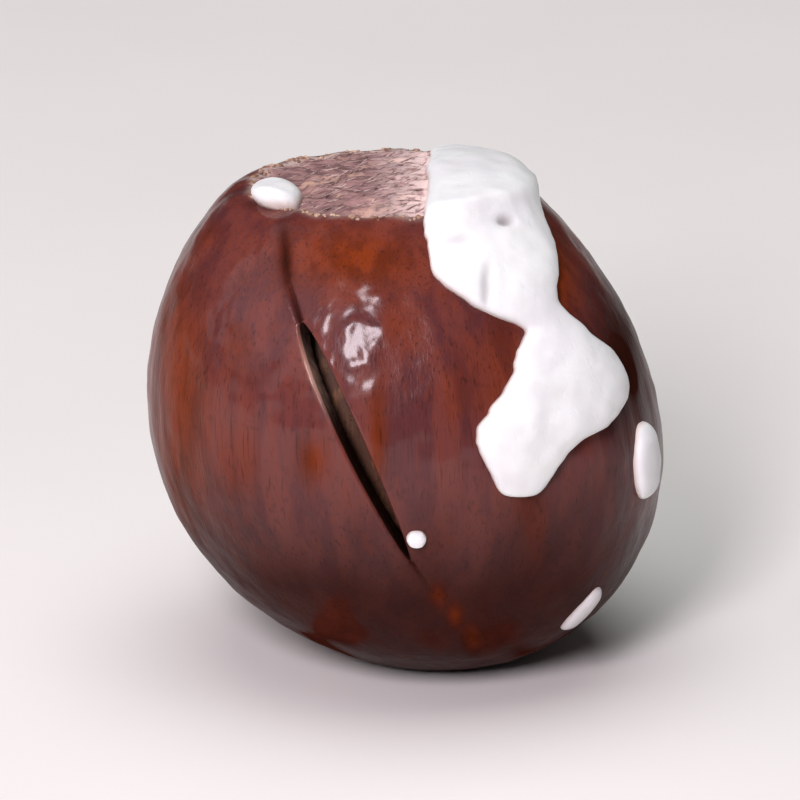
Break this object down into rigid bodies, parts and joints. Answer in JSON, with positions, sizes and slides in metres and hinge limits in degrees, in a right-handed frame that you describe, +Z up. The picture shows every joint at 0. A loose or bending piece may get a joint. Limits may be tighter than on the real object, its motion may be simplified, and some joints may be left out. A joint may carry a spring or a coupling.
{
  "type": "hazelnut in shell",
  "caption": "Round roasted hazelnut in a glossy brown shell with a flat scar, an open slit down one side and splashes of dried white glaze; stands on a small flat spot.",
  "frame": {"origin": "centre of the small flat spot that the nut stands on, near its tip", "axes": "+Z up, towards the scar; -Y is the front, with the slit and the large splash of glaze; +X is to the right of the front"},
  "size_m": [0.0203, 0.0201, 0.0202],
  "materials": {
    "roasted_shell": "satin",
    "kernel_skin": "matte",
    "dried_glaze": "satin"
  },
  "bodies": {
    "root": {"shell": "roasted_shell", "kernel": "kernel_skin", "glaze_run": "dried_glaze", "glaze_scar_drop": "dried_glaze", "glaze_side_drop": "dried_glaze", "glaze_slit_drop": "dried_glaze", "glaze_low_streak": "dried_glaze", "glaze_back_run": "dried_glaze", "glaze_back_drop": "dried_glaze", "glaze_left_drop": "dried_glaze"}
  },
  "joints": []
}
